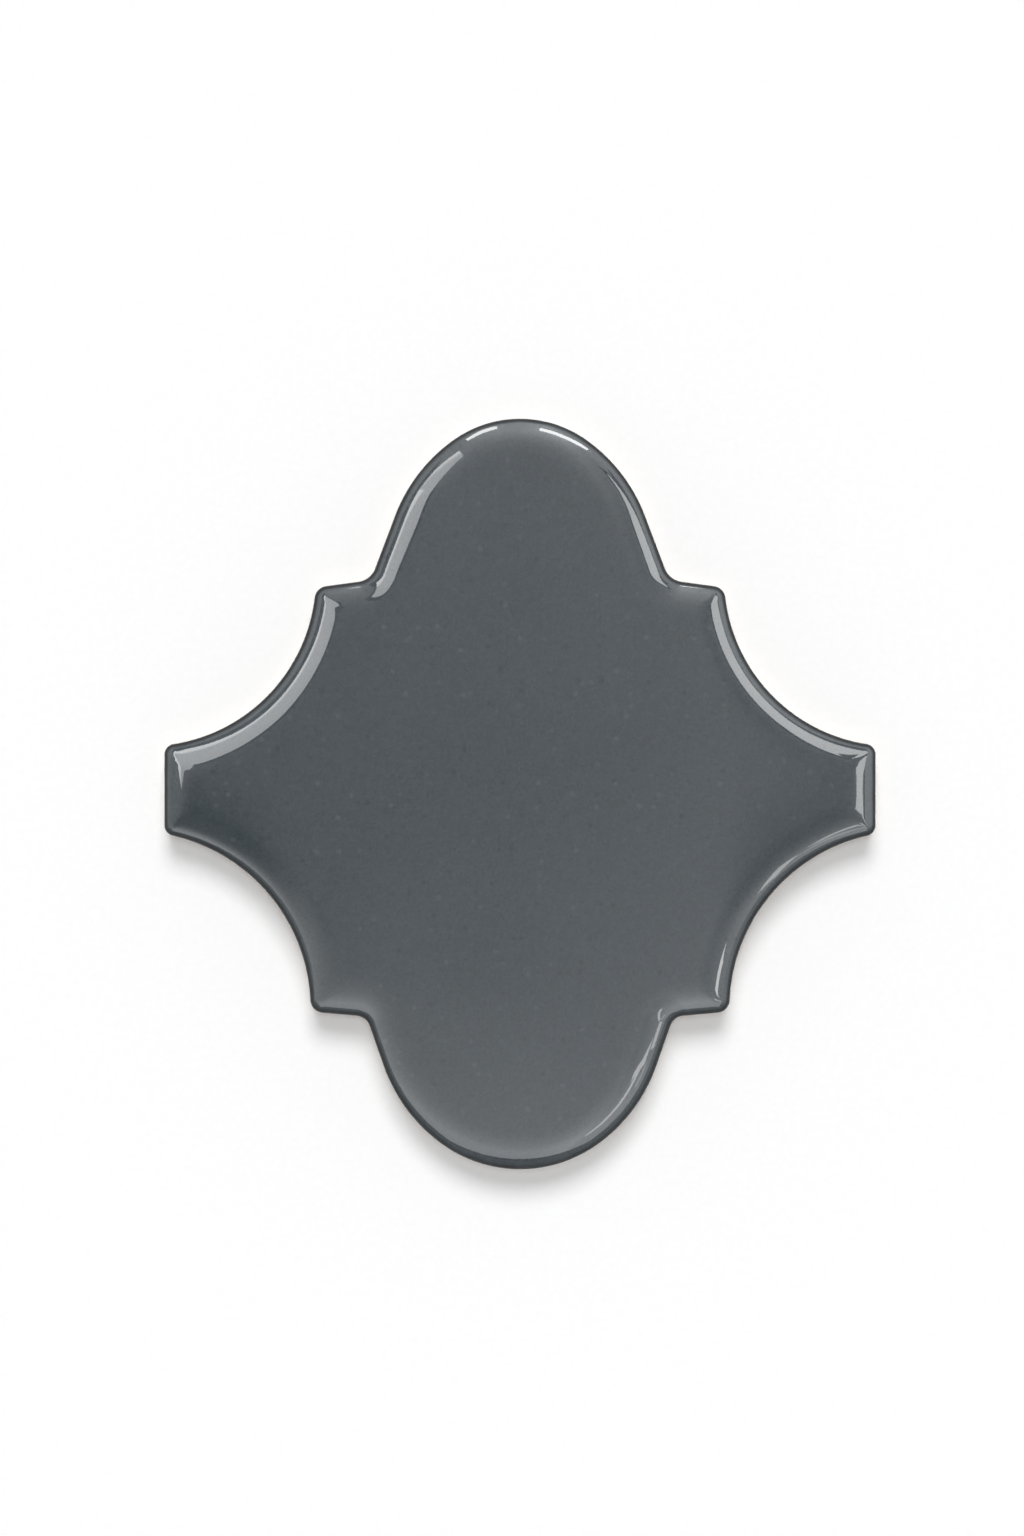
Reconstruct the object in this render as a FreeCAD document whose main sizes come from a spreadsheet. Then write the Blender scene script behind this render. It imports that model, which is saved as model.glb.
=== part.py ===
import FreeCAD, Part
import math
import os
import Sketcher
from FreeCAD import Vector

# Moroccan arabesque wall tile: one pressed, glazed and fired piece, lying on its back.
# Millimetres. X runs through the two flat ends, Y through the two lobes, Z up out of the glazed face.

NODE = "arabesque_tile"

# Driving sizes, in millimetres and degrees
SIZES = {
    # the blank
    "tile_width": 113.7,
    "tile_thickness": 8.3,
    # upper half of the outline, heights and half widths from the middle of the tile
    "upper_lobe_height": 60.0,
    "upper_cap_radius": 18.3,
    "upper_cap_angle": 35.0,
    "upper_side_radius": 26.2,
    "upper_flare_angle": 20.7,
    "upper_neck_height": 34.2,
    "upper_neck_round": 3.3,
    "upper_tip_height": 33.0,
    "upper_tip_half_width": 32.7,
    "upper_notch_radius": 26.9,
    "upper_end_height": 7.8,
    # lower half of the outline
    "lower_lobe_height": 60.0,
    "lower_cap_radius": 21.3,
    "lower_cap_angle": 35.5,
    "lower_side_radius": 25.9,
    "lower_flare_angle": 19.3,
    "lower_neck_height": 35.6,
    "lower_neck_round": 2.4,
    "lower_tip_height": 34.8,
    "lower_tip_half_width": 33.5,
    "lower_notch_radius": 28.3,
    "lower_end_height": 6.4,
    # rounding of the points that stick out
    "tip_round": 2.1,
    "end_round": 1.7,
    # the rim of the glazed face: it falls away in a crown, then turns down into the wall
    "crown_width": 5.5,
    "crown_radius": 11.0,
    "rim_edge_radius": 1.2,
    "rim_meeting_angle": 10.0,
    # the back: eased edge and keying grooves
    "back_arris": 0.5,
    "groove_width": 3.0,
    "groove_pitch": 7.0,
    "groove_depth": 0.7,
    "groove_border": 6.0,
    # how far a cutter stands clear of what it cuts
    "cutter_overlap": 0.5,
}

RIGHT, LEFT = 1, -1
UPPER, LOWER = 1, -1
HALF_NAMES = {UPPER: "upper", LOWER: "lower"}
SIDE_NAMES = {RIGHT: "right", LEFT: "left"}
ORIGIN = (-1, 1)
UP = Vector(0, 0, 1)

doc = FreeCAD.newDocument(NODE)
sheet = doc.addObject("Spreadsheet::Sheet", "Sizes")
for row, (alias, value) in enumerate(SIZES.items(), start=1):
    sheet.set("A%d" % row, alias)
    sheet.set("B%d" % row, str(value))
    sheet.setAlias("B%d" % row, alias)
doc.recompute()


def size(alias):
    """A driving size as the sheet holds it."""
    return float(sheet.get(alias))


def origin_plane(body, role):
    """One of a body's own origin planes."""
    return next(plane for plane in body.Origin.OriginFeatures if plane.Role == role)


def direction(angle_deg):
    """Unit vector in plan at an angle from +X."""
    angle = math.radians(angle_deg)
    return Vector(math.cos(angle), math.sin(angle), 0)


def outline_points(half):
    """Corners and arc centres of one half's right side, as if that half were the upper one."""
    cap_radius = size(half + "_cap_radius")
    side_radius = size(half + "_side_radius")
    flare = size(half + "_flare_angle")
    notch_radius = size(half + "_notch_radius")
    points = {}
    points["cap_centre"] = Vector(0, size(half + "_lobe_height") - cap_radius, 0)
    cap_end_direction = direction(90 - size(half + "_cap_angle"))
    points["cap_end"] = points["cap_centre"] + cap_end_direction * cap_radius
    points["side_centre"] = points["cap_end"] - cap_end_direction * side_radius
    points["side_end"] = points["side_centre"] + direction(flare) * side_radius
    drop = points["side_end"].y - size(half + "_neck_height")
    points["neck"] = points["side_end"] + Vector(drop * math.tan(math.radians(flare)), -drop, 0)
    points["tip"] = Vector(size(half + "_tip_half_width"), size(half + "_tip_height"), 0)
    points["end"] = Vector(size("tile_width") / 2, size(half + "_end_height"), 0)
    chord = points["end"] - points["tip"]
    outward = Vector(-chord.y, chord.x, 0).normalize()
    sagitta_foot = math.sqrt(notch_radius**2 - (chord.Length / 2) ** 2)
    points["notch_centre"] = (points["tip"] + points["end"]) / 2 + outward * sagitta_foot
    return points


def quadrant(point, side, half):
    """A point of the upper right quarter, moved to another quarter."""
    return Vector(point.x * side, point.y * half, 0)


def dimension(sketch, constraint, name, expression):
    """Adds a sketch constraint and binds it to the sheet."""
    index = sketch.addConstraint(constraint)
    sketch.renameConstraint(index, name)
    sketch.setExpression("Constraints." + name, expression)


def distance(sketch, kind, point, sign, name, expression, value):
    """Binds a point's distance from the origin, on the side that sign gives."""
    first, last = (ORIGIN, point) if sign > 0 else (point, ORIGIN)
    dimension(sketch, Sketcher.Constraint(kind, *first, *last, value), name, expression)


def add_line(sketch, start, finish):
    """A line; returns its start and finish as sketch points."""
    line = sketch.addGeometry(Part.LineSegment(start, finish), False)
    return (line, 1), (line, 2)


def add_arc(sketch, centre, start, finish):
    """The shorter arc between two points; returns its start and finish as sketch points."""
    anticlockwise = (start - centre).cross(finish - centre).z > 0
    first, last = (start, finish) if anticlockwise else (finish, start)
    first_angle = math.atan2(first.y - centre.y, first.x - centre.x)
    last_angle = math.atan2(last.y - centre.y, last.x - centre.x)
    if last_angle < first_angle:
        last_angle += 2 * math.pi
    circle = Part.Circle(centre, UP, (start - centre).Length)
    arc = sketch.addGeometry(Part.ArcOfCircle(circle, first_angle, last_angle), False)
    return ((arc, 1), (arc, 2)) if anticlockwise else ((arc, 2), (arc, 1))


def draw_cap(sketch, half):
    """The round top of one lobe; returns its right and left ends."""
    name = HALF_NAMES[half]
    points = outline_points(name)
    centre = quadrant(points["cap_centre"], RIGHT, half)
    right = quadrant(points["cap_end"], RIGHT, half)
    left = quadrant(points["cap_end"], LEFT, half)
    right_end, left_end = add_arc(sketch, centre, right, left)
    cap = right_end[0]
    cap_radius = size(name + "_cap_radius")
    # -2 is the sketch's own Y axis
    sketch.addConstraint(Sketcher.Constraint("PointOnObject", cap, 3, -2))
    sketch.addConstraint(Sketcher.Constraint("Horizontal", *right_end, *left_end))
    dimension(
        sketch,
        Sketcher.Constraint("Radius", cap, cap_radius),
        name + "_cap_radius",
        "Sizes.%s_cap_radius" % name,
    )
    dimension(
        sketch,
        Sketcher.Constraint("Angle", cap, math.radians(2 * size(name + "_cap_angle"))),
        name + "_cap_angle",
        "2 deg * Sizes.%s_cap_angle" % name,
    )
    distance(
        sketch,
        "DistanceY",
        (cap, 3),
        half,
        name + "_cap_centre",
        "Sizes.%s_lobe_height - Sizes.%s_cap_radius" % (name, name),
        abs(centre.y),
    )
    return {RIGHT: right_end, LEFT: left_end}


def draw_quarter(sketch, half, side, cap_end, end_corner):
    """One quarter of the outline, from the end of the cap down to the flat end."""
    name = HALF_NAMES[half]
    points = {key: quadrant(p, side, half) for key, p in outline_points(name).items()}
    label = "%s_%s_" % (name, SIDE_NAMES[side])

    # lobe side, flare, shoulder and notch
    side_top, side_foot = add_arc(sketch, points["side_centre"], points["cap_end"], points["side_end"])
    flare_top, flare_foot = add_line(sketch, points["side_end"], points["neck"])
    shoulder_neck, shoulder_tip = add_line(sketch, points["neck"], points["tip"])
    notch_tip, notch_end = add_arc(sketch, points["notch_centre"], points["tip"], points["end"])
    sketch.addConstraint(Sketcher.Constraint("Tangent", *cap_end, *side_top))
    sketch.addConstraint(Sketcher.Constraint("Tangent", *side_foot, *flare_top))
    sketch.addConstraint(Sketcher.Constraint("Coincident", *flare_foot, *shoulder_neck))
    sketch.addConstraint(Sketcher.Constraint("Coincident", *shoulder_tip, *notch_tip))
    sketch.addConstraint(Sketcher.Constraint("Coincident", *notch_end, *end_corner))

    # sizes
    for key, arc in (("side_radius", side_top[0]), ("notch_radius", notch_tip[0])):
        radius = Sketcher.Constraint("Radius", arc, size("%s_%s" % (name, key)))
        dimension(sketch, radius, label + key, "Sizes.%s_%s" % (name, key))
    flare_angle = math.radians(half * (side * size(name + "_flare_angle") - 90))
    dimension(
        sketch,
        Sketcher.Constraint("Angle", flare_top[0], flare_angle),
        label + "flare_angle",
        "%d deg * (%d * Sizes.%s_flare_angle - 90)" % (half, side, name),
    )
    for key, kind, point, sign in (
        ("neck_height", "DistanceY", shoulder_neck, half),
        ("tip_height", "DistanceY", shoulder_tip, half),
        ("tip_half_width", "DistanceX", shoulder_tip, side),
    ):
        alias = "%s_%s" % (name, key)
        distance(sketch, kind, point, sign, label + key, "Sizes." + alias, size(alias))


def draw_outline(sketch):
    """The whole outline with sharp corners, sized from the sheet."""
    caps = {half: draw_cap(sketch, half) for half in (UPPER, LOWER)}
    for side in (RIGHT, LEFT):
        label = SIDE_NAMES[side] + "_"
        top = quadrant(outline_points("upper")["end"], side, UPPER)
        foot = quadrant(outline_points("lower")["end"], side, LOWER)
        upper_corner, lower_corner = add_line(sketch, top, foot)
        sketch.addConstraint(Sketcher.Constraint("Vertical", upper_corner[0]))
        half_width = size("tile_width") / 2
        distance(sketch, "DistanceX", upper_corner, side, label + "end", "Sizes.tile_width / 2", half_width)
        for half, corner in ((UPPER, upper_corner), (LOWER, lower_corner)):
            alias = HALF_NAMES[half] + "_end_height"
            distance(sketch, "DistanceY", corner, half, label + alias, "Sizes." + alias, size(alias))
            draw_quarter(sketch, half, side, caps[half][side], corner)


def upright_edges(shape, key, halves):
    """Names of the blank's upright edges at one corner of the outline, on both sides."""
    found = []
    for half in halves:
        corner = outline_points(HALF_NAMES[half])[key]
        for side in (RIGHT, LEFT):
            foot = quadrant(corner, side, half)
            for number, edge in enumerate(shape.Edges, start=1):
                start, finish = (vertex.Point for vertex in edge.Vertexes[:2])
                upright = abs(start.x - finish.x) + abs(start.y - finish.y) < 1e-6
                if upright and math.hypot(start.x - foot.x, start.y - foot.y) < 1e-3:
                    found.append("Edge%d" % number)
    return found


def round_upright(body, base, name, key, halves, alias):
    """Rounds the upright edges at one corner of the outline."""
    fillet = body.newObject("PartDesign::Fillet", name)
    fillet.Base = (base, upright_edges(base.Shape, key, halves))
    fillet.setExpression("Radius", "Sizes." + alias)
    doc.recompute()
    return fillet


def level(item, height):
    """Whether an edge or a face lies flat at a height."""
    box = item.BoundBox
    return abs(box.ZMin - height) < 1e-4 and abs(box.ZMax - height) < 1e-4


def level_edges(shape, height):
    """Names of the edges that lie flat at a height."""
    return ["Edge%d" % number for number, edge in enumerate(shape.Edges, start=1) if level(edge, height)]


def level_face(shape, height):
    """The face that lies flat at a height."""
    return next(face for face in shape.Faces if level(face, height))


def rim_section():
    """Upright face over the rim, drawn in XZ with the wall at X = 0 and the tile on its +X side."""
    overlap = size("cutter_overlap")
    top = size("tile_thickness")
    crown_width = size("crown_width")
    crown_radius = size("crown_radius")
    edge_radius = size("rim_edge_radius")
    crown_centre = Vector(crown_width, 0, top - crown_radius)
    edge_inset = edge_radius * math.cos(math.radians(size("rim_meeting_angle")))
    edge_rise = math.sqrt((crown_radius - edge_radius) ** 2 - (crown_width - edge_inset) ** 2)
    edge_centre = Vector(edge_inset, 0, crown_centre.z + edge_rise)
    outward = (edge_centre - crown_centre).normalize()
    crown_middle = (outward + UP).normalize()
    edge_middle = (outward - Vector(1, 0, 0)).normalize()

    summit = Vector(crown_width, 0, top)
    blend = crown_centre + outward * crown_radius
    foot = edge_centre - Vector(edge_radius, 0, 0)
    corners = [
        foot,
        Vector(-overlap, 0, foot.z),
        Vector(-overlap, 0, top + overlap),
        Vector(crown_width, 0, top + overlap),
        summit,
    ]
    crown = Part.Arc(summit, crown_centre + crown_middle * crown_radius, blend)
    edge = Part.Arc(blend, edge_centre + edge_middle * edge_radius, foot)
    return Part.Face(Part.Wire(Part.makePolygon(corners).Edges + [crown.toShape(), edge.toShape()]))


def trim_section(section, reach):
    """The part of a section that lies within reach of the wall."""
    overlap = size("cutter_overlap")
    height = size("tile_thickness") + overlap
    window = Part.makeBox(reach + overlap, 2 * overlap, height, Vector(-overlap, -overlap, 0))
    return section.common(window).Faces[0]


def rim_strip(section, edge, face):
    """What the rim takes off along one edge of the glazed face, square to that edge."""
    first, last = edge.ParameterRange
    middle = (first + last) / 2
    along = edge.tangentAt(middle)
    probe = edge.valueAt(middle) + UP.cross(along) * 0.01
    inside = face.isInside(probe, 1e-6, True)
    foot = edge.valueAt(first)
    inward = UP.cross(edge.tangentAt(first)) * (1 if inside else -1)
    curve = edge.Curve
    round_point = isinstance(curve, Part.Circle) and (curve.Center - foot).dot(inward) > 0
    if round_point and curve.Radius < size("crown_width"):
        section = trim_section(section, curve.Radius)
    placed = section.copy()
    turn = FreeCAD.Rotation(Vector(1, 0, 0), inward)
    placed.Placement = FreeCAD.Placement(Vector(foot.x, foot.y, 0), turn)
    if isinstance(curve, Part.Circle):
        return placed.revolve(curve.Center, curve.Axis, math.degrees(last - first))
    return placed.extrude(edge.valueAt(last) - foot)


def rim_cutter_shape(face):
    """The rim all round the glazed face: its height depends only on the distance to the nearest wall."""
    section = rim_section()
    strips = [rim_strip(section, edge, face) for edge in face.OuterWire.Edges]
    return strips[0].multiFuse(strips[1:])


def groove_cutter_shape(face):
    """Parallel keying grooves that stop short of the outline."""
    overlap = size("cutter_overlap")
    width = size("groove_width")
    pitch = size("groove_pitch")
    border = size("groove_border")
    span = size("tile_width")
    depth = size("groove_depth")
    field = face.makeOffset2D(-border)
    field.translate(Vector(0, 0, -overlap))
    field = field.extrude(UP * (depth + overlap))
    rows_up = int((size("upper_lobe_height") - border - width) / pitch)
    rows_down = int((size("lower_lobe_height") - border - width) / pitch)
    bars = []
    for row in range(-rows_down, rows_up + 1):
        corner = Vector(-span / 2, row * pitch - width / 2, -overlap)
        bars.append(Part.makeBox(span, width, depth + overlap, corner))
    return field.common(Part.makeCompound(bars))


def cut_from_body(body, name, shape):
    """Takes a cutter's shape off the body."""
    cutter = doc.addObject("Part::Feature", name + "_cutter")
    cutter.Shape = shape
    tool = doc.addObject("PartDesign::Body", name + "_tool")
    tool.BaseFeature = cutter
    doc.recompute()
    cut = body.newObject("PartDesign::Boolean", name)
    cut.Type = "Cut"
    cut.setObjects([tool])
    doc.recompute()
    return cut


# Blank: the outline, padded to the tile's thickness
tile = doc.addObject("PartDesign::Body", NODE)
tile.Label = NODE
outline = tile.newObject("Sketcher::SketchObject", "outline")
outline.AttachmentSupport = [(origin_plane(tile, "XY_Plane"), "")]
outline.MapMode = "FlatFace"
draw_outline(outline)
doc.recompute()
blank = tile.newObject("PartDesign::Pad", "blank")
blank.Profile = outline
blank.setExpression("Length", "Sizes.tile_thickness")
doc.recompute()

# Necks between lobes and shoulders, and the points that stick out
necks = round_upright(tile, blank, "upper_necks", "neck", [UPPER], "upper_neck_round")
necks = round_upright(tile, necks, "lower_necks", "neck", [LOWER], "lower_neck_round")
tips = round_upright(tile, necks, "tips", "tip", [UPPER, LOWER], "tip_round")
ends = round_upright(tile, tips, "ends", "end", [UPPER, LOWER], "end_round")

back_face = level_face(ends.Shape, 0)
glazed_face = level_face(ends.Shape, size("tile_thickness"))

# Back: an eased edge all round, and the keying grooves
arris = tile.newObject("PartDesign::Chamfer", "arris")
arris.Base = (ends, level_edges(ends.Shape, 0))
arris.setExpression("Size", "Sizes.back_arris")
doc.recompute()
cut_from_body(tile, "grooves", groove_cutter_shape(back_face))

# Glazed face: the rim, crowned and turned down into the wall
tile.Tip = cut_from_body(tile, "rim", rim_cutter_shape(glazed_face))
tile.Placement = FreeCAD.Placement()
doc.recompute()

# Every object is sound, and the tile is written out
for item in doc.Objects:
    if "Invalid" in item.State or "Error" in item.State:
        raise RuntimeError("%s is %s" % (item.Label, item.State))
if tile.Shape.isNull() or not tile.Shape.isValid() or len(tile.Shape.Solids) != 1:
    raise RuntimeError("the tile is not one sound solid")
os.makedirs("parts", exist_ok=True)
tile.Shape.exportStep("parts/%s.step" % NODE)
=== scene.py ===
import math

import bpy
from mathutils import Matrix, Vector
from mathutils.geometry import delaunay_2d_cdt
from mathutils.kdtree import KDTree


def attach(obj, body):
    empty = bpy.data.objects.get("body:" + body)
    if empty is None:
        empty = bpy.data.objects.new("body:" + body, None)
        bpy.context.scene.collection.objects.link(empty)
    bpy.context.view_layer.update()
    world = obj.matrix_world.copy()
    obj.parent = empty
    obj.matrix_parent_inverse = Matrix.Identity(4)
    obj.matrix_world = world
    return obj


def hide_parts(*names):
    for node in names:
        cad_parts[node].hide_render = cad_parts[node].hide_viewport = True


# Moroccan arabesque wall tile: dark grey gloss glaze over a pressed clay body.
# Metres. The tile lies on its back, X through the flat ends, Y through the lobes, Z out of the glazed face.

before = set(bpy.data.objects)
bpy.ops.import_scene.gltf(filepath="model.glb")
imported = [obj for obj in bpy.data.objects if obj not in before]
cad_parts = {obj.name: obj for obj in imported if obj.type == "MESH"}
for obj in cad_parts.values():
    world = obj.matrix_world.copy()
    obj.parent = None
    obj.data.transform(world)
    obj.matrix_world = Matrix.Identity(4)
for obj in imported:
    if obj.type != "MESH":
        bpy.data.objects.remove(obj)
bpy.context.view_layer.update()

MM = 0.001

# Sizes of the tile

TILE_WIDTH = 113.7 * MM
TILE_THICKNESS = 8.3 * MM
UPPER_HALF = {
    "lobe_height": 60.0 * MM,
    "cap_radius": 18.3 * MM,
    "cap_angle": math.radians(35.0),
    "side_radius": 26.2 * MM,
    "flare_angle": math.radians(20.7),
    "neck_height": 34.2 * MM,
    "neck_round": 3.3 * MM,
    "tip_height": 33.0 * MM,
    "tip_half_width": 32.7 * MM,
    "notch_radius": 26.9 * MM,
    "end_height": 7.8 * MM,
}
LOWER_HALF = {
    "lobe_height": 60.0 * MM,
    "cap_radius": 21.3 * MM,
    "cap_angle": math.radians(35.5),
    "side_radius": 25.9 * MM,
    "flare_angle": math.radians(19.3),
    "neck_height": 35.6 * MM,
    "neck_round": 2.4 * MM,
    "tip_height": 34.8 * MM,
    "tip_half_width": 33.5 * MM,
    "notch_radius": 28.3 * MM,
    "end_height": 6.4 * MM,
}
TIP_ROUND = 2.1 * MM
END_ROUND = 1.7 * MM
CROWN_WIDTH = 5.5 * MM
CROWN_RADIUS = 11.0 * MM
RIM_EDGE_RADIUS = 1.2 * MM
RIM_MEETING_ANGLE = math.radians(10.0)
BACK_ARRIS = 0.5 * MM
GROOVE_WIDTH = 3.0 * MM
GROOVE_PITCH = 7.0 * MM
GROOVE_DEPTH = 0.7 * MM
GROOVE_BORDER = 6.0 * MM
GROOVE_ROWS = 7

# Glaze on the face: softening where two rims meet, over rings of (places, share of the reach), and waves
CORNER_SOFTENING = 1.3 * MM
SOFTENING_SHARE = 0.4
SOFTENING_RINGS = [(8, 1.0), (5, 0.55)]
GLAZE_SWAY = 0.02 * MM
GLAZE_WAVE_SCALE = 45.0
GLAZE_SEED = 4.0

# Where the glaze is thin at the rim edge and painted shade darkens it there, where it stops above the back,
# and how far both lines wander
THIN_EDGE_SHADE_START = 0.22 * MM
THIN_EDGE_SHADE_END = 0.9 * MM
THIN_EDGE_SHADE_WANDER = 0.3 * MM
GLAZE_LINE_START = 1.3 * MM
GLAZE_LINE_END = 1.6 * MM
GLAZE_LINE_WANDER = 1.6 * MM
BARE_BACK_HEIGHT = GROOVE_DEPTH + 0.1 * MM

# How finely the blank is divided: (longest step, largest turn) along its outline and along the wall line
BLANK_STEPS = (0.4 * MM, math.radians(9.0))
WALL_LINE_STEPS = (0.1 * MM, math.radians(2.0))
RIM_EDGE_ROWS = 9
ROWS_PAST_EDGE = [0.2 * MM, 0.42 * MM, 0.66 * MM]
CROWN_STEP = 0.32 * MM
FIELD_STEP = 0.9 * MM
FIELD_OVERLAP = 0.4
CLOSEST_POINTS = 0.18 * MM
WALL_ROWS = [4.8 * MM, 3.4 * MM, 2.0 * MM, BACK_ARRIS]
ROW_TOLERANCE = 0.02 * MM
LEVEL_TOLERANCE = 0.01 * MM
NORMAL_STEP = 0.1 * MM
SHARP_TURN = 0.6

# Table under the tile
TABLE_REACH = 4.0
TABLE_LEVEL = -0.1 * MM

# Light on a level surface from each lamp, where the room adds the rest up to 1
KEY_LEVEL = 0.44
FILL_LEVEL = 0.38
ROOM_OVERHEAD = 0.2
ROOM_HORIZON = 0.95

# Heights of the gauzes and cards that the glaze mirrors, and the dark frame round a card
SLIT_HEIGHT = 14.0 * MM
GAUZE_HEIGHT = 30.0 * MM
WINDOW_HEIGHT = 50.0 * MM
CARD_HEIGHT = 100.0 * MM
PANEL_HEIGHT = 104.0 * MM
SURROUND_HEIGHT = 112.0 * MM
FRAME_GAP = 1.0 * MM
FRAME_BORDER = 5

# Camera straight over the tile, a little off its middle
CAMERA_PLACE = (-1.28 * MM, 4.15 * MM, 688.5 * MM)
CAMERA_LENS = 100.0
CAMERA_SENSOR = 36.0


# Outline of the tile


def heading(angle):
    """Unit vector in plan at an angle from +X."""
    return Vector((math.cos(angle), math.sin(angle)))


def arc_stations(division, centre, radius, first, last, hollow=False):
    """Points and outward normals along an arc, up to but not including its last point."""
    longest_step, largest_turn = division
    turn = abs(last - first)
    steps = max(math.ceil(turn / largest_turn), math.ceil(turn * radius / longest_step))
    stations = []
    for step in range(steps):
        spoke = heading(first + (last - first) * step / steps)
        stations.append((centre + spoke * radius, -spoke if hollow else spoke))
    return stations


def line_stations(division, start, finish, outward):
    """Points and outward normals along a line, up to but not including its last point."""
    steps = math.ceil((finish - start).length / division[0])
    return [(start.lerp(finish, step / steps), outward) for step in range(steps)]


def bearing(vector):
    """Angle of a vector in plan."""
    return math.atan2(vector.y, vector.x)


def turned_round(first, last):
    """An angle within half a turn of another one."""
    while last - first > math.pi:
        last -= 2 * math.pi
    while last - first < -math.pi:
        last += 2 * math.pi
    return last


def quarter_outline(half, division):
    """Stations of one quarter, from the top of the lobe to the middle of the flat end."""
    flare = half["flare_angle"]
    cap_centre = Vector((0, half["lobe_height"] - half["cap_radius"]))
    cap_last = math.pi / 2 - half["cap_angle"]
    cap_end = cap_centre + heading(cap_last) * half["cap_radius"]
    side_centre = cap_end - heading(cap_last) * half["side_radius"]
    side_end = side_centre + heading(flare) * half["side_radius"]
    drop = side_end.y - half["neck_height"]
    neck = side_end + Vector((drop * math.tan(flare), -drop))
    tip = Vector((half["tip_half_width"], half["tip_height"]))
    end = Vector((TILE_WIDTH / 2, half["end_height"]))

    shoulder = (tip - neck).normalized()
    shoulder_out = Vector((-shoulder.y, shoulder.x))
    flare_out = heading(flare)
    chord = end - tip
    notch_radius = half["notch_radius"]
    chord_out = Vector((-chord.y, chord.x)).normalized()
    notch_centre = (tip + end) / 2 + chord_out * math.sqrt(notch_radius**2 - chord.length_squared / 4)

    # neck: a hollow round that touches the flare and the shoulder from outside
    neck_round = half["neck_round"]
    spread = flare_out.dot(shoulder_out)
    neck_centre = neck + (flare_out + shoulder_out) * (neck_round / (1 + spread))
    neck_first = bearing(-flare_out)
    neck_last = turned_round(neck_first, bearing(-shoulder_out))

    # tip: a round inside the shoulder and the notch
    foot = tip - shoulder_out * TIP_ROUND - notch_centre
    along = foot.dot(shoulder)
    reach = (notch_radius + TIP_ROUND) ** 2 - foot.length_squared + along**2
    tip_centre = notch_centre + foot + shoulder * (-along - math.sqrt(reach))
    tip_first = bearing(shoulder_out)
    tip_last = turned_round(tip_first, bearing(notch_centre - tip_centre))

    # end: a round inside the notch and the flat end
    end_x = TILE_WIDTH / 2 - END_ROUND
    rise = math.sqrt((notch_radius + END_ROUND) ** 2 - (end_x - notch_centre.x) ** 2)
    end_centre = Vector((end_x, notch_centre.y - rise))
    end_first = bearing(notch_centre - end_centre)

    notch_first = bearing(tip_centre - notch_centre)
    notch_last = turned_round(notch_first, bearing(end_centre - notch_centre))
    shoulder_start = neck_centre - shoulder_out * neck_round
    shoulder_finish = tip_centre + shoulder_out * TIP_ROUND
    end_start = end_centre + Vector((END_ROUND, 0))

    stations = arc_stations(division, cap_centre, half["cap_radius"], math.pi / 2, cap_last)
    stations += arc_stations(division, side_centre, half["side_radius"], cap_last, flare)
    stations += line_stations(division, side_end, neck_centre - flare_out * neck_round, flare_out)
    stations += arc_stations(division, neck_centre, neck_round, neck_first, neck_last, hollow=True)
    stations += line_stations(division, shoulder_start, shoulder_finish, shoulder_out)
    stations += arc_stations(division, tip_centre, TIP_ROUND, tip_first, tip_last)
    stations += arc_stations(division, notch_centre, notch_radius, notch_first, notch_last, hollow=True)
    stations += arc_stations(division, end_centre, END_ROUND, end_first, 0)
    stations += line_stations(division, end_start, Vector((TILE_WIDTH / 2, 0)), Vector((1, 0)))
    return stations


def mirrored(stations, x_sign, y_sign):
    """Stations moved to another quarter."""
    flip = Vector((x_sign, y_sign))
    return [(point * flip, outward * flip) for point, outward in stations]


def tile_outline(division):
    """Stations all round the tile, clockwise from the top of the upper lobe."""
    upper = quarter_outline(UPPER_HALF, division)
    lower = quarter_outline(LOWER_HALF, division)
    flat_end = [(Vector((TILE_WIDTH / 2, 0)), Vector((1, 0)))]
    lower_lobe = [(Vector((0, LOWER_HALF["lobe_height"])), Vector((0, 1)))]
    right_side = upper + flat_end + mirrored(lower[:0:-1], 1, -1)
    left_side = mirrored(lower_lobe, 1, -1) + mirrored(lower[1:], -1, -1)
    left_side += mirrored(flat_end, -1, 1) + mirrored(upper[:0:-1], -1, 1)
    return right_side + left_side


def inset(station, distance):
    """The point that lies square in from the wall at a station."""
    point, outward = station
    return point - outward * distance


# The blank, flat and undecorated


def rim_insets():
    """Insets of the rows of points over the rim edge, evenly turned round its radius, and just past it."""
    edge_inset = RIM_EDGE_RADIUS * math.cos(RIM_MEETING_ANGLE)
    lean = (CROWN_WIDTH - edge_inset) / (CROWN_RADIUS - RIM_EDGE_RADIUS)
    blend_turn = math.acos(lean)
    insets = []
    for row in range(RIM_EDGE_ROWS + 1):
        turn = RIM_MEETING_ANGLE + (blend_turn - RIM_MEETING_ANGLE) * row / RIM_EDGE_ROWS
        insets.append(edge_inset - RIM_EDGE_RADIUS * math.cos(turn))
    blend = insets[-1]
    return insets + [blend + further for further in ROWS_PAST_EDGE]


class PointField:
    """Points in plan that keep a least distance from each other."""

    def __init__(self, gap):
        self.gap = gap
        self.points = []
        self.cells = {}

    def cell(self, point):
        """Column and row of the square cell that a point lies in."""
        return (math.floor(point.x / self.gap), math.floor(point.y / self.gap))

    def add(self, point):
        """Adds a point, unless another one lies too near."""
        column, row = self.cell(point)
        for across in (-1, 0, 1):
            for up in (-1, 0, 1):
                for other in self.cells.get((column + across, row + up), ()):
                    if (other - point).length < self.gap:
                        return
        self.force(point)

    def force(self, point):
        """Adds a point, whatever lies near it."""
        self.cells.setdefault(self.cell(point), []).append(point)
        self.points.append(point)


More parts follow.
